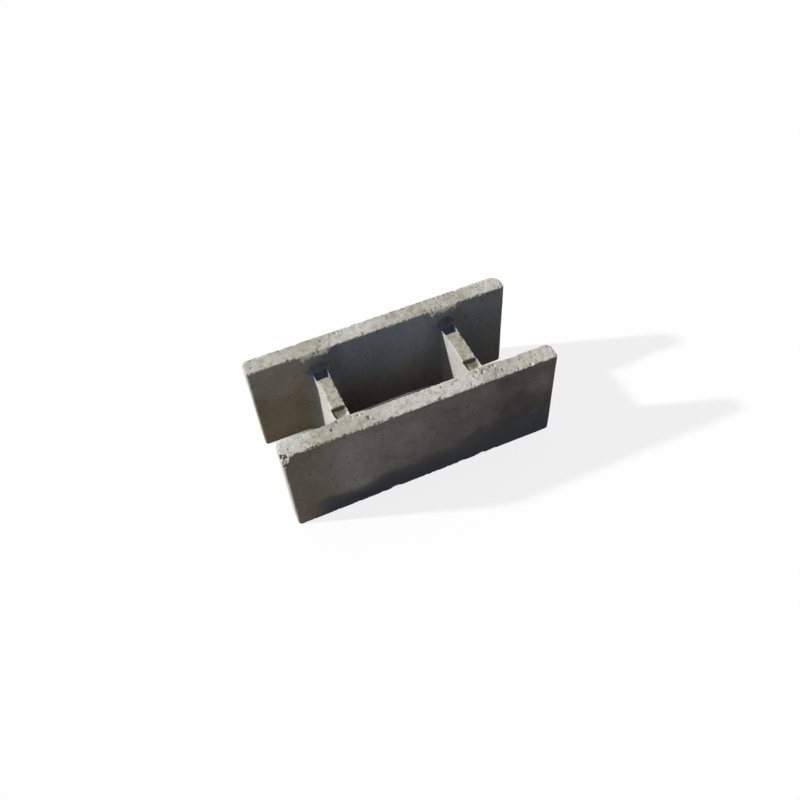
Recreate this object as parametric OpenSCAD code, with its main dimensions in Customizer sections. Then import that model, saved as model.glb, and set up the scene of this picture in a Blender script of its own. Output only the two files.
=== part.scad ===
// Cast concrete shuttering block: two face shells joined by two lowered webs.
// The webs run into the shells in wide fillets, the rounded corners of the cells.
// Millimetres, +Z up, origin at the middle of the underside.
// +X runs along the length, the shell with the holes is on the +Y side.

/* [Block] */
// length along the wall
block_length = 500; // [400:5:600]
// width over both face shells
block_width = 228; // [180:1:300]
// height of the face shells
block_height = 200; // [150:5:250]
// thickness of each face shell
shell_thick = 34; // [26:1:40]
// radius of the upright corners at the shell ends
corner_radius = 5; // [2:0.5:10]

/* [Webs] */
// thickness of each web
web_thick = 27; // [24:1:40]
// depth of the web tops below the shell tops
web_drop = 35; // [28:1:60]
// distance from a block end to the middle of its web, as a share of the length
web_share = 0.25; // [0.2:0.01:0.3]

/* [Cells and pads] */
// radius of the upright fillets between webs and shells
cell_radius = 28; // [24:1:32]
// distance that the pads at the web ends stand proud of each shell
pad_proud = 7; // [5:0.5:15]
// fall of the sloping pad tops towards the webs
pad_fall = 6; // [2:0.5:10]

/* [Holes and bar seats] */
// diameter of the hole through the shell above the end of each web
hole_d = 30; // [20:1:32]
// height of the hole's axis above the web tops
hole_rise = 1; // [0:0.5:8]
// width of the flat-bottomed troughs in the web tops
seat_width = 24; // [16:1:25]
// radius of the troughs' lower corners
seat_radius = 4; // [2:0.5:6]
// depth of the trough that leads from the hole
trough_depth = 11; // [6:0.5:14]
// length of the trough that leads from the hole
trough_run = 26.5; // [10:0.5:30]
// depth of the bar seat
seat_depth = 8; // [6:0.5:14]
// length of the bar seat from the pad on the -Y side
seat_run = 47.5; // [20:0.5:50]

/* [Hidden] */
$fn = 64;
concrete = [0.66, 0.65, 0.61];
web_x = block_length * (0.5 - web_share);
web_top = block_height - web_drop;
shell_y = block_width / 2;
inner_y = shell_y - shell_thick;
pad_y = inner_y - pad_proud;
web_reach = web_thick / 2 + cell_radius;
hole_z = web_top + hole_rise;
slope_reach = web_thick / 2 + 0.75 * cell_radius;
overlap = shell_thick / 4;
through = 1;

// plan of the face shell on the +Y side, with rounded ends
module shell_plan() {
    flat = block_length / 2 - corner_radius;
    translate([-flat, inner_y])
        square([2 * flat, shell_thick]);
    translate([-block_length / 2, inner_y + corner_radius])
        square([block_length, shell_thick - 2 * corner_radius]);
    for (x = [-flat, flat])
        for (y = [inner_y + corner_radius, shell_y - corner_radius])
            translate([x, y])
                circle(r = corner_radius);
}

// plan of the rounded end of the cell on the +X side of a web
module cell_end_plan() {
    straight = inner_y - cell_radius;
    translate([web_thick / 2, -straight])
        square([2 * cell_radius, 2 * straight]);
    translate([web_reach, -inner_y])
        square([cell_radius, 2 * inner_y]);
    for (y = [-straight, straight])
        translate([web_reach, y])
            circle(r = cell_radius);
}

// plan of one web with its four fillets, its ends set into the shells
module web_plan() {
    difference() {
        square([2 * web_reach, 2 * (inner_y + overlap)], center = true);
        cell_end_plan();
        mirror([1, 0])
            cell_end_plan();
    }
}

// the two shells and the webs at full height
module full_casting() {
    linear_extrude(height = block_height)
        union() {
            shell_plan();
            mirror([0, 1])
                shell_plan();
            for (x = [-web_x, web_x])
                translate([x, 0])
                    web_plan();
        }
}

// space above one web, which leaves a pad against each shell
module web_lowering() {
    translate([-web_reach, -pad_y, web_top])
        cube([2 * web_reach, 2 * pad_y, web_drop + through]);
}

// wedge above the pad on the +Y side, which leaves its top sloping
module pad_slope() {
    run = pad_proud + through;
    fall = pad_fall * run / pad_proud;
    translate([-slope_reach, 0, 0])
        rotate([90, 0, 90])
            linear_extrude(height = 2 * slope_reach)
                polygon([
                    [inner_y, block_height],
                    [inner_y - run, block_height - fall],
                    [inner_y - run, block_height + through],
                    [inner_y, block_height + through],
                ]);
}

// level round hole through the shell and the pad on the +Y side
module bar_hole() {
    translate([0, pad_y, hole_z])
        rotate([-90, 0, 0])
            cylinder(d = hole_d, h = shell_y - pad_y + through);
}

// section of a trough in a web top, across the web
module trough_plan(depth) {
    flat = seat_width / 2 - seat_radius;
    floor_z = web_top - depth;
    translate([-flat, floor_z])
        square([2 * flat, depth + through]);
    translate([-seat_width / 2, floor_z + seat_radius])
        square([seat_width, depth - seat_radius + through]);
    for (x = [-flat, flat])
        translate([x, floor_z + seat_radius])
            circle(r = seat_radius);
}

// trough along +Y in a web top
module trough_cutter(depth, start_y, run) {
    translate([0, start_y + run, 0])
        rotate([90, 0, 0])
            linear_extrude(height = run)
                trough_plan(depth);
}

module block() {
    color(concrete)
        difference() {
            full_casting();
            for (x = [-web_x, web_x])
                translate([x, 0, 0]) {
                    web_lowering();
                    pad_slope();
                    mirror([0, 1, 0])
                        pad_slope();
                    bar_hole();
                    trough_cutter(trough_depth, pad_y - trough_run, trough_run);
                    trough_cutter(seat_depth, -pad_y, seat_run);
                }
        }
}

block();
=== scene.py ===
"""Weathered look of a cast concrete shuttering block, built over its CAD solid, with some light and shade
painted into its colour. Metres, +Z up.
"""

import itertools
import math

import bmesh
import bpy
import numpy as np
from mathutils import Euler, Matrix, Vector
from mathutils.kdtree import KDTree


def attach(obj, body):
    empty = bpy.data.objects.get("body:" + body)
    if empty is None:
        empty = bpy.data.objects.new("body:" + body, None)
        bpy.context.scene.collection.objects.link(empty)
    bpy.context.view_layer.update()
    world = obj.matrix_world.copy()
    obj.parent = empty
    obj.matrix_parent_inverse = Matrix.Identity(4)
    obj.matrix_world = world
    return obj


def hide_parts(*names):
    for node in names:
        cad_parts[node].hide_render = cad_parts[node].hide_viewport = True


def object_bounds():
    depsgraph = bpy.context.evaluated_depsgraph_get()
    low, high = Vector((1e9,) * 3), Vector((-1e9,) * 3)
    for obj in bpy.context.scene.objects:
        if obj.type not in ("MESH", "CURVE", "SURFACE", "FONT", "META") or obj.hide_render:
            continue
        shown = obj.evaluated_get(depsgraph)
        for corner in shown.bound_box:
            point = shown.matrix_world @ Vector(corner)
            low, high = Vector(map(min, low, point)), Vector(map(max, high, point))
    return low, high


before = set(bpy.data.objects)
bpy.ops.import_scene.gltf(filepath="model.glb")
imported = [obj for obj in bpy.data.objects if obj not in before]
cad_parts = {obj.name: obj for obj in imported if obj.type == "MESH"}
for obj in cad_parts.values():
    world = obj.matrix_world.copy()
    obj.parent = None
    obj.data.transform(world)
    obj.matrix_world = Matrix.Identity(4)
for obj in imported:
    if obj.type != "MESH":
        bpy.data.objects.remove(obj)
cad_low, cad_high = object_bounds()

MM = 0.001

# Sizes of the block, from its CAD box and from the part's named sizes
LENGTH = cad_high.x - cad_low.x
HEIGHT = cad_high.z - cad_low.z
FRONT_Y = cad_low.y
BACK_Y = cad_high.y
SHELL = 34 * MM
INNER_Y = BACK_Y - SHELL
PAD_PROUD = 7 * MM
PAD_Y = INNER_Y - PAD_PROUD
WEB_X = LENGTH / 4
WEB_THICK = 27 * MM
WEB_DROP = 35 * MM
WEB_TOP = HEIGHT - WEB_DROP
HOLE_RADIUS = 15 * MM
HOLE_RISE = 1 * MM
HOLE_Z = WEB_TOP + HOLE_RISE
SEAT_RUN = 47.5 * MM

# Mesh: the surface is cast at this grain and then thinned to the triangle budget
GRAIN = 1.2 * MM
TRIANGLES = 194000
WELD = 0.01 * MM
EDGE_STEP = 1 * MM
EDGE_ANGLE = math.radians(45)

# Seeds of the random draws and of each noise field
SEED = 7
WAVE_SEED = 3
CRUMBLE_SEED = 11
GRIT_SEED = 23
PATCH_SEED = 37
TOP_PIT_SEED = 41
SIDE_PIT_SEED = 43
WANDER_SEED = 61
FINE_SEED = 67
SPREAD_SEED = 83
OCTAVE_SEED_STEP = 31


# Noise

NOISE_TURN = np.array(Euler((0.6, 0.9, 0.4)).to_matrix())
CELL_PRIMES = np.array([73856093, 19349663, 83492791], np.int64)
SEED_PRIME = 668265263
MIX_PRIME = 1274126177
LOW_BITS = 0xFFFFFFFF
HALF_BITS = 0x7FFFFFFF


def lattice_values(cells, seed):
    """A fixed pseudo-random number from -1 to 1 for each whole-numbered cell."""
    key = (cells * CELL_PRIMES).sum(axis=1) + seed * SEED_PRIME
    key = (key ^ (key >> 13)) & LOW_BITS
    key = (key * MIX_PRIME) & LOW_BITS
    key = key ^ (key >> 16)
    return key / HALF_BITS - 1.0


def smooth_noise(points, size, seed):
    """Noise from about -1 to 1 whose features are about size across, turned away from the axes."""
    scaled = points @ NOISE_TURN / size
    base = np.floor(scaled).astype(np.int64)
    part = scaled - base
    part = part * part * part * (part * (part * 6 - 15) + 10)
    total = np.zeros(len(points))
    for corner in itertools.product((0, 1), repeat=3):
        weight = np.where(corner, part, 1 - part).prod(axis=1)
        total += weight * lattice_values(base + np.array(corner), seed)
    return total


def fractal(points, size, octaves, seed):
    """Sum of smooth_noise at halving sizes."""
    total = np.zeros(len(points))
    gain = 1.0
    for octave in range(octaves):
        total += gain * smooth_noise(points, size / 2 ** octave, seed + OCTAVE_SEED_STEP * octave)
        gain *= 0.5
    return total


def ramp(values, start, end):
    """Smooth step from 0 at start to 1 at end; start may lie above end."""
    t = np.clip((values - start) / (end - start), 0, 1)
    return t * t * (3 - 2 * t)


def profile(places, pairs):
    """Amounts at the places, read off the line through (place, amount) pairs."""
    known_places, amounts = zip(*pairs)
    return np.interp(places, known_places, amounts)


# Mesh

# Diamond-shaped bars that cut the worn web edges: reach from the edge, and where the long one stops
RIM_CUT = 3.6 * MM
SEAT_CUT = 8 * MM
RIM_STOP = PAD_Y - 17 * MM
# Shift that keeps the bars' faces from coinciding
APART = 0.1 * MM


def evaluated_mesh(piece):
    """The piece's mesh with its modifiers applied."""
    graph = bpy.context.evaluated_depsgraph_get()
    return bpy.data.meshes.new_from_object(piece.evaluated_get(graph))


def worn_rims():
    """The bars along the web edges that have worn away, each from x, start and end in y, and reach."""
    left = -WEB_X - WEB_THICK / 2
    right = WEB_X - WEB_THICK / 2
    seat_end = -PAD_Y + SEAT_RUN
    bars = [
        (left, -PAD_Y, RIM_STOP, RIM_CUT),
        (left - 2 * APART, -PAD_Y, seat_end, SEAT_CUT),
        (right - APART, -PAD_Y, seat_end, SEAT_CUT),
    ]
    turned = Matrix.Rotation(math.radians(45), 4, "Y")
    cutter = bmesh.new()
    for x, start, end, reach in bars:
        side = reach * math.sqrt(2)
        shape = Matrix.Diagonal((side, end - start, side, 1))
        place = Matrix.Translation((x, (start + end) / 2, WEB_TOP))
        bmesh.ops.create_cube(cutter, size=1, matrix=place @ turned @ shape)
    mesh = bpy.data.meshes.new("worn_rims")
    cutter.to_mesh(mesh)
    cutter.free()
    made = bpy.data.objects.new("worn_rims", mesh)
    bpy.context.scene.collection.objects.link(made)
    return made


def sharp_edges(solid):
    """Points along the solid's outer edges, with the outward direction at each."""
    points, outward = [], []
    for edge in solid.edges:
        if len(edge.link_faces) != 2 or edge.calc_face_angle_signed(0) < EDGE_ANGLE:
            continue
        away = (edge.link_faces[0].normal + edge.link_faces[1].normal).normalized()
        start, end = (v.co for v in edge.verts)
        count = max(1, round(edge.calc_length() / EDGE_STEP))
        for k in range(count):
            points.append(start.lerp(end, (k + 0.5) / count))
            outward.append(away)
    return np.array(points), np.array(outward)


def cast_surface(cad):
    """A new object with the CAD node's shape as an even quad mesh, and the solid's outer edges."""
    solid = bmesh.new()
    solid.from_mesh(cad.data)
    bmesh.ops.remove_doubles(solid, verts=solid.verts, dist=WELD)
    mesh = bpy.data.meshes.new("cast_block")
    solid.to_mesh(mesh)
    edges = sharp_edges(solid)
    solid.free()
    piece = bpy.data.objects.new("cast_block", mesh)
    bpy.context.scene.collection.objects.link(piece)
    rims = worn_rims()
    wear = piece.modifiers.new("wear", "BOOLEAN")
    wear.operation = "DIFFERENCE"
    wear.object = rims
    wear.use_self = True
    remesh = piece.modifiers.new("grain", "REMESH")
    remesh.mode = "VOXEL"
    remesh.voxel_size = GRAIN
    dense = evaluated_mesh(piece)
    piece.modifiers.clear()
    piece.data = dense
    bpy.data.objects.remove(rims)
    return piece, edges


def read_vectors(source, name, count):
    """The named vector of every item, as rows of an array."""
    values = np.zeros(count * 3)
    source.foreach_get(name, values)
    return values.reshape(-1, 3)


def nearest_edge(points, edge_points):
    """Distance from each point to the nearest outer edge."""
    tree = KDTree(len(edge_points))
    for k, point in enumerate(edge_points):
        tree.insert(point, k)
    tree.balance()
    return np.array([tree.find(p)[2] for p in points])


def store(mesh, name, values):
    """Keeps a number for each point of the mesh, for the material to read."""
    layer = mesh.attributes.get(name) or mesh.attributes.new(name, "FLOAT", "POINT")
    layer.data.foreach_set("value", values.astype(np.float32))


def thin_out(piece):
    """Thins the dense mesh to the triangle budget."""
    triangles = sum(len(face.vertices) - 2 for face in piece.data.polygons)
    thin = piece.modifiers.new("thin", "DECIMATE")
    thin.ratio = min(1.0, TRIANGLES / triangles)
    piece.data = evaluated_mesh(piece)
    piece.modifiers.clear()
    for face in piece.data.polygons:
        face.use_smooth = True


# Weathered casting

# A point this close to a plane counts as lying on it
CLOSE = 1 * MM
# Bands below the shell tops and about the web tops, in which upward faces count as those tops
SHELL_TOP_BAND = 6 * MM
WEB_TOP_BAND = 13 * MM

# Relief, as heights and depths in millimetres
WAVE_HEIGHT = 0.3
GRIT_HEIGHT = 0.4
TOP_PIT_DEPTH = 1.2
SIDE_PIT_DEPTH = 0.7
RIM_HEIGHT = 1.2
EDGE_WEAR = 0.3
UPPER_EDGE_WEAR = 0.5

# Sizes of the relief's features
WAVE_SIZE = 75 * MM
PATCH_SIZE = 34 * MM
CRUMBLE_SIZE = 6 * MM
GRIT_SIZE = 5 * MM
TOP_PIT_SIZE = 5.5 * MM
SIDE_PIT_SIZE = 4.6 * MM
EDGE_WEAR_REACH = 2.6 * MM
RIM_INSET = 1.4 * MM
RIM_REACH = 1.2 * MM

# Spread of the upper front edge, as (x in metres, spread in millimetres), and its reach in millimetres
FRONT_SPREAD = [(-0.12, 2.1), (-0.04, 1.1)]
SPREAD_SIZE = 9 * MM
SPREAD_REACH = 3.2

# Mix left in the bar seats
FILL_HEIGHT = 4 * MM
FILL_START = -40 * MM
FILL_FULL = -54 * MM
FILL_SIDE_GAP = 2.2 * MM

# Upper corners worn down to a ball: corner, signs towards the ball, and its radius
WORN_CORNERS = [
    ((-LENGTH / 2, BACK_Y, HEIGHT), (1, -1, -1), 24 * MM),
    ((LENGTH / 2, BACK_Y, HEIGHT), (-1, -1, -1), 34 * MM),
    ((LENGTH / 2, -INNER_Y, HEIGHT), (-1, -1, -1), 22 * MM),
]
# The ball's middle lies this share of its radius from each face, so that the wear runs out at the edges
BALL_SHARE = 0.7

# Larger chips and pits: place, outward direction, radius and depth, in millimetres
KNOWN_CHIPS = [
    ((-250, -114, 190), (-0.6, -1, 0.35), 17, 9.5),
    ((-66, -114, 0), (0, -1, -1), 8, 4.5),
    ((-59, -114, 0), (0, -1, -1), 6, 3),
    ((108, -114, 0), (0, -1, -1), 9, 5),
    ((163, 112, 200), (0, 0.8, 1), 6, 3.2),
    ((-93.6, -96.9, 200), (0, 0, 1), 4.5, 2.6),
    ((199, -110, 200), (0, -0.5, 1), 4, 2.2),
    ((150.5, -100, 200), (0, 0, 1), 3.6, 2),
    ((118, -90.5, 200), (0, 0, 1), 4.2, 2),
    ((29, -113.5, 200), (0, -1, 1), 7, 3),
]
WALL_ROUGHNESS = 0.22
SCOOP_MARGIN = 1.4

# Rows of small pits, with the least and most of each measure in millimetres
WEB_PITS = 9
WEB_PIT_FIRST = 40
WEB_PIT_STEP = 8
WEB_PIT_INSET = (1, 3)
WEB_PIT_RADIUS = (1.8, 2.6)
WEB_PIT_DEPTH = 1.5
NEAR_PITS = 9
NEAR_PIT_X = (-24, 36)
NEAR_PIT_Y = (-7, 2)
NEAR_PIT_RADIUS = (1.4, 3.2)
NEAR_PIT_DEPTH = (0.7, 1.7)
BACK_PITS = 34
BACK_PIT_SHARE = (-0.48, 0.48)
BACK_PIT_INSET = (0.5, 7)
BACK_PIT_RADIUS = (1.8, 3.4)
BACK_PIT_DEPTH = (0.8, 1.7)

# Small chips of the outer edges: how many, how readily each kind of edge chips, and their sizes
CHIPS = 1700
OTHER_CHANCE = 0.14
FOOT_CHANCE = 0.2
WEB_CHANCE = 0.5
UPPER_CHANCE = 0.9
UPPER_INNER_CHANCE = 1.7
UPPER_FRONT_CHANCE = 2.6
UPPER_FRONT_END = -0.06
CORNER_CLEAR = 15 * MM
CHIP_BAND = 8 * MM
CHIP_LEAST = 1.6
CHIP_SPAN = 5.0
CHIP_DEPTH_SHARE = (0.14, 0.42)


class Casting:
    """Points of the dense mesh with the fields that the weathering needs."""

    def __init__(self, piece, edge_points, edge_outward):
        self.mesh = piece.data
        self.rng = np.random.default_rng(SEED)
        count = len(self.mesh.vertices)
        self.points = read_vectors(self.mesh.vertices, "co", count)
        self.normals = read_vectors(self.mesh.vertex_normals, "vector", count)
        self.edge_points = edge_points
        self.edge_outward = edge_outward
        self.edge_gap = nearest_edge(self.points, edge_points)
        self.crumble = fractal(self.points, CRUMBLE_SIZE, 2, CRUMBLE_SEED)
        self.broken = np.zeros(count)
        x, y, z = self.points.T
        up = ramp(self.normals[:, 2], 0.5, 0.9)
        self.side = 1 - up
        self.shell_top = up * (z > HEIGHT - SHELL_TOP_BAND)
        self.pad_share = np.clip((INNER_Y - np.abs(y)) / (INNER_Y - PAD_Y), 0, 1) * self.shell_top
        self.web_top = up * (np.abs(z - WEB_TOP) < WEB_TOP_BAND) * (np.abs(y) < PAD_Y + CLOSE)
        self.web_rim_gap = WEB_THICK / 2 - np.abs(np.abs(x) - WEB_X)
        self.top_pits = self.shell_top + 0.5 * self.web_top
        self.top_pits *= ramp(smooth_noise(self.points, TOP_PIT_SIZE, TOP_PIT_SEED), 0.72, 0.9)
        self.side_pits = self.side * ramp(smooth_noise(self.points, SIDE_PIT_SIZE, SIDE_PIT_SEED), 0.7, 0.88)

    def roughen(self):
        """Broad waves, gritty tops, pits, worn edges and the thin rims along the web tops."""
        points = self.points
        patches = ramp(fractal(points, PATCH_SIZE, 2, PATCH_SEED), -0.4, 0.5)
        gritty = self.shell_top * patches + self.web_top
        gritty *= 1 - 0.7 * self.pad_share
        grit = fractal(points, GRIT_SIZE, 2, GRIT_SEED)
        worn = np.exp(-(self.edge_gap / EDGE_WEAR_REACH) ** 2)
        upper = ramp(points[:, 2], WEB_TOP - 20 * MM, WEB_TOP)
        rim = self.web_top * np.exp(-((self.web_rim_gap - RIM_INSET) / RIM_REACH) ** 2)

        move = WAVE_HEIGHT * fractal(points, WAVE_SIZE, 2, WAVE_SEED)
        move += GRIT_HEIGHT * gritty * grit
        move -= TOP_PIT_DEPTH * self.top_pits + SIDE_PIT_DEPTH * self.side_pits
        move -= worn * (EDGE_WEAR + UPPER_EDGE_WEAR * upper) * (0.3 + 1.2 * np.abs(self.crumble))
        move += RIM_HEIGHT * rim * ramp(self.crumble, -0.5, 0.4)
        points += self.normals * move[:, None] * MM

    def overhang(self):
        """Pushes the upper front edge out a little, where the mix spread over the mould."""
        x, y, z = self.points.T
        edge = np.hypot(y - FRONT_Y, z - HEIGHT) / MM
        reach = ramp(fractal(self.points * (1, 0, 0), SPREAD_SIZE, 3, SPREAD_SEED), -0.7, 0.6)
        spread = profile(x, FRONT_SPREAD) * MM
        self.points[:, 1] -= spread * reach * np.exp(-(edge / SPREAD_REACH) ** 2)

    def fill_seats(self):
        """Mix left in the near end of each bar seat."""
        x, y, z = self.points.T
        across = np.abs(np.abs(x) - WEB_X)
        low = (z < WEB_TOP - 3 * MM) & (z > WEB_TOP - 10 * MM) & (across < WEB_THICK / 2 - FILL_SIDE_GAP)
        low &= (y > -PAD_Y - 2 * MM) & (y < 0)
        self.points[:, 2] += low * FILL_HEIGHT * ramp(y, FILL_START, FILL_FULL)

    def round_corner(self, corner, inward, radius):
        """Wears an upper corner down to a ball; inward gives the signs towards the ball."""
        inward = np.array(inward)
        centre = np.array(corner) + inward * BALL_SHARE * radius
        offset = self.points - centre
        distance = np.linalg.norm(offset, axis=1)
        close = (np.abs(self.points - corner) < radius).all(axis=1)
        worn = close & (offset * inward < 0).all(axis=1) & (distance > radius)
        self.points[worn] = centre + offset[worn] * (radius / distance[worn])[:, None]

    def scoop(self, place, outward, radius, depth, among=None):
        """Breaks a chip out of the surface: pushes the points in a ball inwards to its rough wall."""
        direction = np.array(outward) / np.linalg.norm(outward)
        centre = np.array(place) + direction * (radius - depth)
        points = self.points if among is None else self.points[among]
        near = np.where(np.abs(points - centre).max(axis=1) < radius * SCOOP_MARGIN)[0]
        near = near if among is None else among[near]
        offset = self.points[near] - centre
        wall = radius * (1 + WALL_ROUGHNESS * self.crumble[near])
        along = offset @ direction
        aside = (offset ** 2).sum(axis=1) - along ** 2
        inside = aside + along ** 2 < wall ** 2
        inwards = np.sqrt(np.maximum(wall ** 2 - aside, 0)) + along
        self.points[near[inside]] -= direction * inwards[inside, None]
        self.broken[near[inside]] = 1

    def break_known_chips(self):
        for place, outward, radius, depth in KNOWN_CHIPS:
            self.scoop(np.array(place) * MM, outward, radius * MM, depth * MM)

    def pit_left_web(self):
        """A row of small pits along the left web's outer edge."""
        edge_x = -WEB_X - WEB_THICK / 2
        for k in range(WEB_PITS):
            x = edge_x + self.rng.uniform(*WEB_PIT_INSET) * MM
            place = (x, (WEB_PIT_FIRST - WEB_PIT_STEP * k) * MM, WEB_TOP)
            radius = self.rng.uniform(*WEB_PIT_RADIUS) * MM
            self.scoop(place, (-0.3, 0, 1), radius, WEB_PIT_DEPTH * MM)

    def pit_near_shell(self):
        """Small pits along the near shell's inner edge, where the webs meet it."""
        draw = self.rng.uniform
        for web_x in np.repeat((-WEB_X, WEB_X), NEAR_PITS):
            x = web_x + draw(*NEAR_PIT_X) * MM
            place = (x, -INNER_Y + draw(*NEAR_PIT_Y) * MM, HEIGHT - CLOSE)
            radius = draw(*NEAR_PIT_RADIUS) * MM
            self.scoop(place, (0, 0.4, 1), radius, draw(*NEAR_PIT_DEPTH) * MM)

    def pit_far_shell(self):
        """Small pits along the back of the far shell's top."""
        draw = self.rng.uniform
        for x in draw(*BACK_PIT_SHARE, BACK_PITS) * LENGTH:
            place = (x, BACK_Y - draw(*BACK_PIT_INSET) * MM, HEIGHT)
            radius = draw(*BACK_PIT_RADIUS) * MM
            self.scoop(place, (0, 0.2, 1), radius, draw(*BACK_PIT_DEPTH) * MM)

    def chip_chances(self):
        """Each edge point's share of the chips: most along the upper edges, none at the worn corners."""
        x, y, z = self.edge_points.T
        chance = np.full(len(x), OTHER_CHANCE)
        chance[z < CLOSE] = FOOT_CHANCE
        chance[np.abs(z - WEB_TOP) < CLOSE] = WEB_CHANCE
        upper = z > HEIGHT - CLOSE
        chance[upper] = UPPER_CHANCE
        chance[upper & (np.abs(y) < INNER_Y + CLOSE)] = UPPER_INNER_CHANCE
        chance[upper & (y < FRONT_Y + CLOSE) & (x < UPPER_FRONT_END)] = UPPER_FRONT_CHANCE
        for corner, inward, radius in WORN_CORNERS:
            gap = np.linalg.norm(self.edge_points - np.array(corner), axis=1)
            chance[gap < CORNER_CLEAR] = 0
        return chance / chance.sum()

    def chip_edges(self):
        """Breaks small chips out of the outer edges."""
        rng = self.rng
        among = np.where(self.edge_gap < CHIP_BAND)[0]
        for pick in rng.choice(len(self.edge_points), CHIPS, p=self.chip_chances()):
            radius = (CHIP_LEAST + CHIP_SPAN * rng.random() ** 2) * MM
            depth = radius * rng.uniform(*CHIP_DEPTH_SHARE)
            self.scoop(self.edge_points[pick], self.edge_outward[pick], radius, depth, among)

    def finish(self):
        """Puts the moved points back into the mesh, above the floor, with the masks of the damage and of the
        pits and pad tops, which get painted shade.
        """
        self.points[:, 2] = np.maximum(self.points[:, 2], 0)
        self.mesh.vertices.foreach_set("co", self.points.ravel())
        self.mesh.update()
        store(self.mesh, "broken", self.broken)
        # the pits get painted shade in the material
        store(self.mesh, "pit", np.maximum(self.top_pits, self.side_pits))
        # the pad tops get a faint painted shade in the material
        store(self.mesh, "pad", ramp(self.pad_share, 0, 0.3))


def weather(piece, edge_points, edge_outward):
    """Turns the clean cast surface into a worn one."""
    casting = Casting(piece, edge_points, edge_outward)
    casting.roughen()
    casting.overhang()
    casting.fill_seats()
    for corner, inward, radius in WORN_CORNERS:
        casting.round_corner(corner, inward, radius)
    casting.break_known_chips()
    casting.pit_left_web()
    casting.pit_near_shell()
    casting.pit_far_shell()
    casting.chip_edges()
    casting.finish()


# Stains, and light and shade painted into the colour

# Small round spots, as (x, y, z, radius) in millimetres
RUST_SPOTS = [
    (117, -90, 200, 5),
    (125, -92, 200, 4),
    (20.7, 98.8, 200, 4),
    (75, 80, 170, 4),
    (150, -102, 200, 3),
]
MOSS_SPOTS = [(171, 80, 157, 5)]

# Height of the damp band along the foot of the front, as (x, height) in millimetres
DAMP_FOOT = [(-250, 44), (-190, 54), (-140, 48), (-60, 50), (50, 52), (100, 78), (130, 86), (250, 78)]

# Amounts along the length, as (x in millimetres, amount): darkening of the front
FRONT_DARKENING = [
    (-250, 0.0), (-170, 0.22), (-110, 0.32), (0, 0.4), (60, 0.42),
    (100, 0.5), (150, 0.82), (185, 0.86), (225, 0.74), (250, 0.76),
]
# Painted shade on the inner face: rising from the foot, all over, and in the nooks beside the webs
CELL_FOOT_SHADE = [(-160, 0), (-100, 0.6), (-60, 0.7), (60, 0.55), (130, 0.35)]
INNER_FACE_SHADE = [(-150, 0.25), (-60, 0.15), (60, 0.1), (130, 0.15), (160, 0.25)]
NOOK_SHADE = [
    (-160, 0), (-140, 0.2), (-124, 0.2), (-112, 0.42), (-95, 0.4), (-70, 0),
    (96, 0), (110, 0.3), (124, 0.1), (139, 0.4), (152, 0.4), (170, 0),
]
# Pale, smoother stretches of the shell tops
NEAR_PALE = [
    (-250, 1.0), (-205, 0.9), (-185, 0.1), (-110, 0.05), (-75, 0.5), (-20, 0.9),
    (95, 0.9), (120, 0.2), (175, 0.35), (215, 0.75), (250, 0.95),
]
FAR_PALE = [
    (-250, 0.6), (-200, 0.45), (-125, 0.05), (-95, 0.4), (-50, 0.9),
    (0, 0.5), (60, 0.3), (140, 0.0), (180, 0.35), (250, 0.65),
]
GROUND_BOUNCE_MOST = 1.4

# Sizes of the noise that breaks up the stains' edges
WANDER_SIZE = 60 * MM
FINE_SIZE = 14 * MM


def spots(points, places):
    """How strongly each point lies in one of the round spots."""
    total = np.zeros(len(points))
    for x, y, z, radius in places:
        gap = np.linalg.norm(points - np.array([x, y, z]) * MM, axis=1)
        total = np.maximum(total, ramp(gap, radius * 1.5 * MM, radius * 0.4 * MM))
    return total


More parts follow.
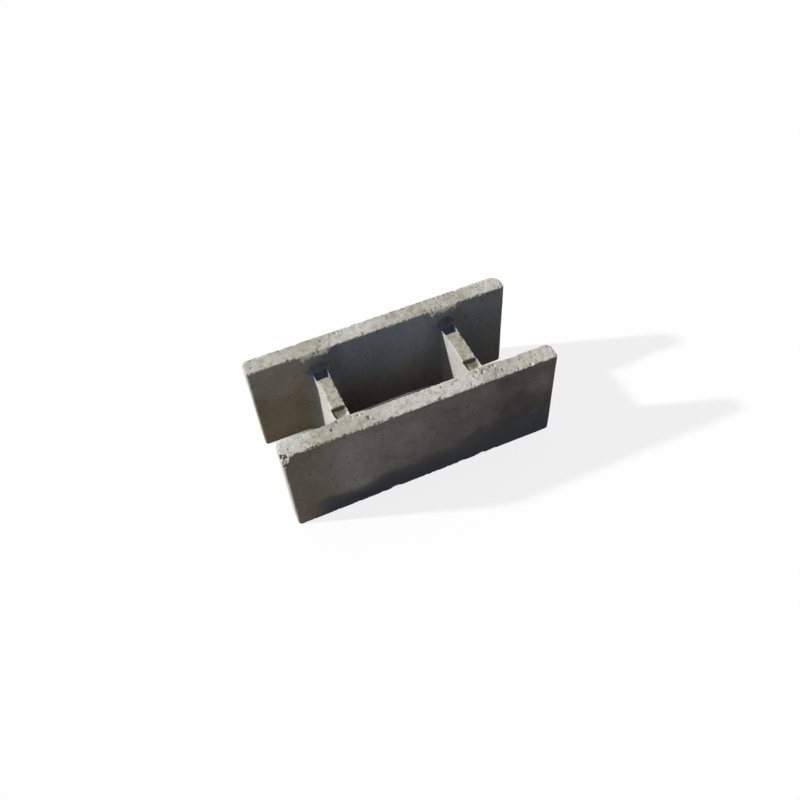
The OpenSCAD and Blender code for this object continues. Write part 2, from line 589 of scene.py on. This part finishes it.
class Surface:
    """Points of the thinned mesh, in millimetres as x, y and z, with the fields that the stains and the
    painted shade share.
    """

    def __init__(self, mesh):
        count = len(mesh.vertices)
        self.points = read_vectors(mesh.vertices, "co", count)
        self.normals = read_vectors(mesh.vertex_normals, "vector", count)
        self.x, self.y, self.z = self.points.T / MM
        self.wander = fractal(self.points, WANDER_SIZE, 3, WANDER_SEED)
        self.fine = fractal(self.points, FINE_SIZE, 3, FINE_SEED)
        facing = -self.normals[:, 1]
        self.front = ramp(facing, 0.4, 0.8) * (self.y < FRONT_Y / MM + 8)
        inner = ramp(facing, 0.0, 0.5) * (self.y > 30) * (self.y < INNER_Y / MM + 8)
        self.inner = inner * ramp(self.normals[:, 2], 0.6, 0.35)
        self.find_holes_and_troughs()

    def find_holes_and_troughs(self):
        """Marks the troughs, the depths of the holes, and the web tops where they flare to the far pads."""
        web_top = WEB_TOP / MM
        pad_y = PAD_Y / MM
        back_y = BACK_Y / MM
        across = np.abs(np.abs(self.x) - WEB_X / MM)
        self.in_trough = across < WEB_THICK / MM / 2 - 1.2
        self.in_trough = self.in_trough * (self.z < web_top - 2) * (self.z > web_top - 14)
        in_hole = np.hypot(across, self.z - HOLE_Z / MM) < HOLE_RADIUS / MM + 2
        self.deep = in_hole * ramp(self.y, pad_y - 2, pad_y + 4) * ramp(self.y, back_y - 6, back_y - 22)
        self.flare = (np.abs(self.z - web_top) < 3) * ramp(self.y, 52, 56) * (self.y < pad_y + 2)

    def damp(self):
        """A damp band along the foot of the front, climbing to the right."""
        depth = profile(self.x, DAMP_FOOT) - self.z + 8 * self.wander + 3 * self.fine
        depth = depth / (1 + 1.2 * ramp(self.x, 20, 110))
        band = self.front * ramp(depth, -6, 10) * ramp(self.x + 12 * self.wander, -235, -180)
        return np.clip(band * (0.72 + 0.28 * ramp(depth, 6, 28)), 0, 1)

    def darkening_and_painted_shade(self):
        """The front darker, more so to the right, with a painted shadow under the top edge; painted shade on
        the inner face, low down, all over and in the nooks beside the webs.
        """
        x, z = self.x, self.z
        front_dark = profile(x, FRONT_DARKENING)
        front_dark -= 0.16 * ramp(x, 180, 215) * ramp(z, 120, 150)
        front_dark += 0.12 * ramp(x, -140, -80) * ramp(z, 150, 100)
        # painted shadow under the front's top edge
        lip_shadow = 0.06 * ramp(z + 3 * self.fine, 170, 178) * ramp(x, 120, 60)
        on_front = self.front * (front_dark + lip_shadow + 0.18 * self.wander + 0.1 * self.fine)
        # painted shade on the inner face
        shade = profile(x, INNER_FACE_SHADE) * np.where(x < -WEB_X / MM, ramp(z, 20, 80), 1)
        nook = profile(x, NOOK_SHADE) * ramp(z, 110, 160)
        foot_shade = profile(x, CELL_FOOT_SHADE) * ramp(z + 12 * self.wander, 185, 10)
        return np.clip(on_front + self.inner * (foot_shade + shade + nook), 0, 1)

    def seat(self):
        """Painted shadow on the floor of each bar seat, darkest at its far end and fading out towards the mix
        that fills its near end.
        """
        return self.in_trough * (self.y < -20) * ramp(self.y + 5 * self.fine, -45, -34)

    def painted_ground_bounce(self):
        """Painted warm bounce light from the ground: brown on the left of the front, and on the inner face of
        the left bay, strongest low down.
        """
        on_front = self.front * ramp(self.x + 26 * self.wander, -140, -235)
        bay = self.inner * ramp(self.x, -125, -165)
        low = 0.25 + 1.1 * ramp(self.z + 26 * self.wander, 200, 85)
        return np.clip(on_front + bay * low, 0, GROUND_BOUNCE_MOST)

    def olive(self):
        """Olive at the right end of the front, and the moss spots."""
        on_front = self.front * ramp(self.x + 4 * self.wander, 222, 244) * ramp(self.z, 70, 150)
        return np.clip(on_front + spots(self.points, MOSS_SPOTS), 0, 1)

    def painted_sky_shade(self):
        """Painted bluish sky shade on the inner face right of the left web, stronger higher up, and in the
        holes and where the webs flare.
        """
        face = self.inner * ramp(self.x + 8 * self.wander, -150, -130)
        face *= (0.3 + 0.7 * ramp(self.z, 30, 160)) * (1 - 0.35 * ramp(self.x, 125, 170))
        return np.clip(face + self.deep + self.flare, 0, 1)

    def painted_trough_shadow(self):
        """Painted shadow in darker blue in the troughs, and a little where the webs flare and in the right
        hole.
        """
        trough = self.in_trough * (self.y > 20) * (self.y < PAD_Y / MM + 1)
        return np.clip(trough + 0.6 * self.flare + 0.2 * self.deep * (self.x > 0), 0, 1)

    def painted_sunlit_side(self):
        """Painted sunlight: the faces towards the left, which face the sun, made paler."""
        return ramp(-self.normals[:, 0], 0.5, 0.9)

    def pale(self):
        """Pale stretches of the shell tops."""
        along = np.where(self.y < 0, profile(self.x, NEAR_PALE), profile(self.x, FAR_PALE))
        return np.clip(along + 0.3 * self.wander, 0, 1) * (self.z > WEB_TOP / MM + 10)

    def rust(self):
        """The rust spots, broken up."""
        return spots(self.points, RUST_SPOTS) * ramp(self.fine, -0.5, 0.3)


def mark_stains_and_painted_light(piece):
    """Keeps on the mesh how strong each stain and each painted light or shade is at each point."""
    surface = Surface(piece.data)
    masks = {
        "damp": surface.damp(),
        "darkening_and_painted_shade": surface.darkening_and_painted_shade(),
        "seat": surface.seat(),
        "painted_ground_bounce": surface.painted_ground_bounce(),
        "olive": surface.olive(),
        "painted_sky_shade": surface.painted_sky_shade(),
        "painted_trough_shadow": surface.painted_trough_shadow(),
        "painted_sunlit_side": surface.painted_sunlit_side(),
        "pale": surface.pale(),
        "rust": surface.rust(),
    }
    for name, values in masks.items():
        store(piece.data, name, values)


# Material

# Scales of the grain, in features per metre
CLOUD_SCALE = 13
PORE_PATCH_SCALE = 34
MOTTLE_SCALE = 75
STREAK_SCALE = 150
PORE_SCALE = 210
SPECK_SCALE = 290
STONE_SCALE = 300
SAND_SCALE = 480
STREAK_SQUASH = (1, 1, 0.06)

# Colours of the bare concrete, with the paler colour painted on the sunlit side and the painted shade of the
# pores, as 8-bit sRGB
FORMED_DARK = (152, 150, 145)
FORMED_PALE = (176, 174, 168)
STREAK = (190, 188, 183)
GRITTY_DARK = (156, 152, 138)
GRITTY_PALE = (186, 183, 170)
SMOOTH_DARK = (196, 195, 188)
SMOOTH_PALE = (211, 210, 204)
STONE = (212, 209, 201)
SPECK = (104, 100, 90)
# paler colour painted on the faces towards the sun: painted sunlight
SUNLIT_SIDE = (204, 202, 194)
MOTTLE = (126, 123, 114)
# painted shade in the pores
PORE_SHADE = (58, 55, 51)

# Stains and painted light and shade, in the order they lie on each other: mask, strength and 8-bit sRGB
# colour
STAINS_AND_PAINTED_SHADE = [
    ("broken", 0.25, (186, 182, 172)),
    # faint painted shade on the pad tops
    ("pad", 0.05, (128, 128, 122)),
    # painted warm bounce light from the ground
    ("painted_ground_bounce", 0.6, (126, 108, 82)),
    # painted bluish shade, as sky light gives in shadow
    ("painted_sky_shade", 0.85, (142, 155, 170)),
    ("olive", 0.5, (100, 98, 76)),
    # front darkened, with painted shade under its top edge and on the inner faces
    ("darkening_and_painted_shade", 1.0, (92, 89, 86)),
    ("damp", 0.97, (60, 66, 75)),
    # painted shade in the pits
    ("pit", 0.55, (84, 80, 72)),
    ("rust", 0.5, (110, 84, 62)),
    # painted shadow in the troughs, where the webs flare and in the right hole
    ("painted_trough_shadow", 0.9, (92, 98, 120)),
    # painted shadow on the floor of the bar seats
    ("seat", 0.85, (96, 92, 80)),
]

DRY_ROUGHNESS = 0.94
DAMP_ROUGHNESS = 0.75
SHINE = 0.25
BUMP_STRENGTH = 0.6
BUMP_HEIGHT = 1.1 * MM

# Places of the sockets that a colour Mix node uses
MIX_AMOUNT = 0
MIX_FIRST = 6
MIX_SECOND = 7
MIX_RESULT = 2


def linear(colour):
    """A colour given as 8-bit sRGB, as the shader wants it."""
    shares = [value / 255 for value in colour]
    channels = [s / 12.92 if s <= 0.04045 else ((s + 0.055) / 1.055) ** 2.4 for s in shares]
    return (*channels, 1)


class Nodes:
    """Short names for making and joining shader nodes."""

    def __init__(self, tree):
        self.tree = tree
        tree.nodes.clear()

    def add(self, kind, settings=None, **inputs):
        """A new node; an input's name has underscores in place of spaces."""
        made = self.tree.nodes.new(kind)
        for name, value in (settings or {}).items():
            setattr(made, name, value)
        for name, value in inputs.items():
            self.set(made.inputs[name.replace("_", " ")], value)
        return made

    def set(self, socket, value):
        """Joins a socket to another one, or gives it a plain value."""
        if isinstance(value, bpy.types.NodeSocket):
            self.tree.links.new(value, socket)
        else:
            socket.default_value = value

    def fill(self, made, *values):
        """Sets a node's inputs in order."""
        for socket, value in zip(made.inputs, values):
            self.set(socket, value)
        return made.outputs[0]

    def math(self, operation, *values):
        return self.fill(self.add("ShaderNodeMath", {"operation": operation}), *values)

    def span(self, value, low, high, to_low=0.0, to_high=1.0):
        """Smooth step from to_low where value is low to to_high where it is high."""
        made = self.add("ShaderNodeMapRange", {"interpolation_type": "SMOOTHSTEP"})
        return self.fill(made, value, low, high, to_low, to_high)

    def mix(self, amount, first, second, blend="MIX"):
        made = self.add("ShaderNodeMix", {"data_type": "RGBA", "blend_type": blend})
        self.set(made.inputs[MIX_AMOUNT], amount)
        self.set(made.inputs[MIX_FIRST], first)
        self.set(made.inputs[MIX_SECOND], second)
        return made.outputs[MIX_RESULT]

    def noise(self, place, scale, detail, roughness=0.55):
        made = self.add("ShaderNodeTexNoise", Vector=place, Scale=scale, Detail=detail, Roughness=roughness)
        return made.outputs[0]

    def attribute(self, name):
        return self.add("ShaderNodeAttribute", {"attribute_name": name}).outputs["Fac"]

    def laid(self, colour, mask, strength, new_colour):
        """The colour with a new one laid over it, as strongly as the mask says."""
        return self.mix(self.math("MULTIPLY", mask, strength), colour, linear(new_colour))


class Grain:
    """Noise fields of the concrete, from clouds to sand and pores."""

    def __init__(self, n):
        place = n.add("ShaderNodeTexCoord").outputs["Object"]
        self.clouds = n.noise(place, CLOUD_SCALE, 5)
        self.mottle = n.noise(place, MOTTLE_SCALE, 4, 0.65)
        self.sand = n.noise(place, SAND_SCALE, 3, 0.75)
        stretch = n.add("ShaderNodeMapping", Vector=place, Scale=STREAK_SQUASH)
        self.streaks = n.noise(stretch.outputs[0], STREAK_SCALE, 3)
        self.specks = n.span(n.noise(place, SPECK_SCALE, 2), 0.42, 0.3)
        stones = n.add("ShaderNodeTexVoronoi", Vector=place, Scale=STONE_SCALE)
        self.stones = n.span(stones.outputs["Color"], 0.6, 0.95)
        self.pores = self.make_pores(n, place)

    def make_pores(self, n, place):
        """Round pores of mixed size that gather in patches."""
        cells = n.add("ShaderNodeTexVoronoi", Vector=place, Scale=PORE_SCALE)
        size = n.math("MULTIPLY", n.span(cells.outputs["Color"], 0.6, 1.0), 0.42)
        size = n.math("MULTIPLY", size, n.span(n.noise(place, PORE_PATCH_SCALE, 3), 0.46, 0.62))
        return n.span(n.math("SUBTRACT", cells.outputs["Distance"], size), 0.02, -0.08)


def formed_colour(n, grain):
    """Faces that lay against the mould: cloudy grey with faint upright streaks."""
    colour = n.mix(n.span(grain.clouds, 0.32, 0.68), linear(FORMED_DARK), linear(FORMED_PALE))
    return n.laid(colour, n.span(grain.streaks, 0.45, 0.75), 0.3, STREAK)


def struck_colour(n, grain):
    """Struck tops: gritty or pale and smooth, with light stones and dark specks."""
    patches = n.span(grain.mottle, 0.3, 0.7)
    gritty = n.mix(patches, linear(GRITTY_DARK), linear(GRITTY_PALE))
    smooth = n.mix(patches, linear(SMOOTH_DARK), linear(SMOOTH_PALE))
    colour = n.mix(n.attribute("pale"), gritty, smooth)
    colour = n.laid(colour, grain.stones, 0.2, STONE)
    return n.laid(colour, grain.specks, 0.6, SPECK)


def stained_and_shaded_colour(n, grain):
    """The bare concrete with its stains, painted light and shade, pores and sand."""
    geometry = n.add("ShaderNodeNewGeometry")
    up = n.add("ShaderNodeSeparateXYZ", Vector=geometry.outputs["Normal"]).outputs["Z"]
    colour = n.mix(n.span(up, 0.45, 0.85), formed_colour(n, grain), struck_colour(n, grain))
    # painted sunlight: the faces towards the sun made paler
    colour = n.laid(colour, n.attribute("painted_sunlit_side"), 0.2, SUNLIT_SIDE)
    colour = n.laid(colour, n.span(grain.mottle, 0.5, 0.3), 0.3, MOTTLE)
    for mask, strength, layer_colour in STAINS_AND_PAINTED_SHADE:
        colour = n.laid(colour, n.attribute(mask), strength, layer_colour)
    # painted shade in the pores
    colour = n.laid(colour, grain.pores, 0.5, PORE_SHADE)
    return n.mix(1.0, colour, n.span(grain.sand, 0.25, 0.75, 0.78, 1.2), "MULTIPLY")


def bumps(n, grain):
    """Surface direction with the sand, the mottling and the pores as fine bumps."""
    height = n.math("MULTIPLY_ADD", grain.sand, 0.5, n.math("MULTIPLY", grain.mottle, 0.7))
    height = n.math("MULTIPLY_ADD", grain.pores, -0.8, height)
    return n.add("ShaderNodeBump", Strength=BUMP_STRENGTH, Distance=BUMP_HEIGHT, Height=height).outputs[0]


def concrete_material():
    material = bpy.data.materials.new("concrete")
    material.use_nodes = True
    n = Nodes(material.node_tree)
    grain = Grain(n)
    colour = stained_and_shaded_colour(n, grain)
    shader = n.add("ShaderNodeBsdfPrincipled", Base_Color=colour, Normal=bumps(n, grain))
    roughness = n.span(n.attribute("damp"), 0.0, 1.0, DRY_ROUGHNESS, DAMP_ROUGHNESS)
    n.set(shader.inputs["Roughness"], roughness)
    n.set(shader.inputs["Specular IOR Level"], SHINE)
    n.add("ShaderNodeOutputMaterial", Surface=shader.outputs[0])
    return material


# Studio

SUN_TOWARDS = Vector((-0.834, 0.292, 0.467))
SUN_STRENGTH = 4.65
SUN_SPREAD = math.radians(2.5)
FILL = 0.27
FLOOR_HALF = 4.0
FLOOR_SHADE = 0.3
FLOOR_GLOW = 0.82
# The floor's glow fades out where less of the sky is open, measured within this reach
SKY_REACH = 0.4
SKY_SAMPLES = 16
SKY_CLOSED = 0.2
SKY_OPEN = 0.36
CAMERA_PLACE = Vector((-323.0, -884.2, 1228.9)) * MM
CAMERA_AIM = Vector((-4.9, -7.7, 100.0)) * MM
CAMERA_ROLL = math.radians(-4.59)
CAMERA_LENS = 36.36
SENSOR_WIDTH = 36
WHITE = (1, 1, 1, 1)


def grey(shade):
    return (shade, shade, shade, 1)


def seen_directly(n):
    """1 for rays from the camera or through gloss and glass, 0 for light bouncing about."""
    path = n.add("ShaderNodeLightPath").outputs
    direct = n.math("MAXIMUM", path["Is Camera Ray"], path["Is Glossy Ray"])
    return n.math("MAXIMUM", direct, path["Is Transmission Ray"])


def make_world():
    """White to the eye, and a weak fill light for all else."""
    world = bpy.data.worlds.new("studio")
    bpy.context.scene.world = world
    world.use_nodes = True
    n = Nodes(world.node_tree)
    strength = n.math("MULTIPLY_ADD", seen_directly(n), 1 - FILL, FILL)
    light = n.add("ShaderNodeBackground", Color=WHITE, Strength=strength)
    n.add("ShaderNodeOutputWorld", Surface=light.outputs[0])


def floor_material():
    """White to the eye with a pale shadow, but dark in the closed-in places; greyer for bounced light."""
    material = bpy.data.materials.new("floor")
    material.use_nodes = True
    n = Nodes(material.node_tree)
    bounced = n.add("ShaderNodeBsdfDiffuse", Color=grey(FLOOR_SHADE))
    open_sky = n.add("ShaderNodeAmbientOcclusion", {"samples": SKY_SAMPLES}, Distance=SKY_REACH).outputs["AO"]
    glow_strength = n.span(open_sky, SKY_CLOSED, SKY_OPEN, 0.0, FLOOR_GLOW)
    glow = n.add("ShaderNodeEmission", Color=WHITE, Strength=glow_strength)
    shade = n.add("ShaderNodeBsdfDiffuse", Color=grey(1 - FLOOR_GLOW))
    shown = n.fill(n.add("ShaderNodeAddShader"), glow.outputs[0], shade.outputs[0])
    picked = n.fill(n.add("ShaderNodeMixShader"), seen_directly(n), bounced.outputs[0], shown)
    n.add("ShaderNodeOutputMaterial", Surface=picked)
    return material


def make_floor():
    half = FLOOR_HALF
    corners = [(-half, -half, 0), (half, -half, 0), (half, half, 0), (-half, half, 0)]
    mesh = bpy.data.meshes.new("floor")
    mesh.from_pydata(corners, [], [(0, 1, 2, 3)])
    mesh.materials.append(floor_material())
    floor = bpy.data.objects.new("floor", mesh)
    bpy.context.scene.collection.objects.link(floor)


def make_sun():
    lamp = bpy.data.lights.new("sun", "SUN")
    lamp.energy = SUN_STRENGTH
    lamp.angle = SUN_SPREAD
    sun = bpy.data.objects.new("sun", lamp)
    sun.rotation_mode = "QUATERNION"
    sun.rotation_quaternion = SUN_TOWARDS.to_track_quat("Z", "Y")
    bpy.context.scene.collection.objects.link(sun)


def make_camera():
    lens = bpy.data.cameras.new("camera")
    lens.sensor_width = SENSOR_WIDTH
    lens.lens = CAMERA_LENS
    camera = bpy.data.objects.new("camera", lens)
    aim = (CAMERA_AIM - CAMERA_PLACE).to_track_quat("-Z", "Y").to_matrix().to_4x4()
    camera.matrix_world = Matrix.Translation(CAMERA_PLACE) @ aim @ Matrix.Rotation(CAMERA_ROLL, 4, "Z")
    bpy.context.scene.collection.objects.link(camera)
    bpy.context.scene.camera = camera


# Build

piece, (edge_points, edge_outward) = cast_surface(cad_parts["block"])
weather(piece, edge_points, edge_outward)
thin_out(piece)
mark_stains_and_painted_light(piece)
piece.data.materials.clear()
piece.data.materials.append(concrete_material())
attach(piece, "root")
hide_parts("block")

make_world()
make_floor()
make_sun()
make_camera()
bpy.context.scene.view_settings.view_transform = "Standard"
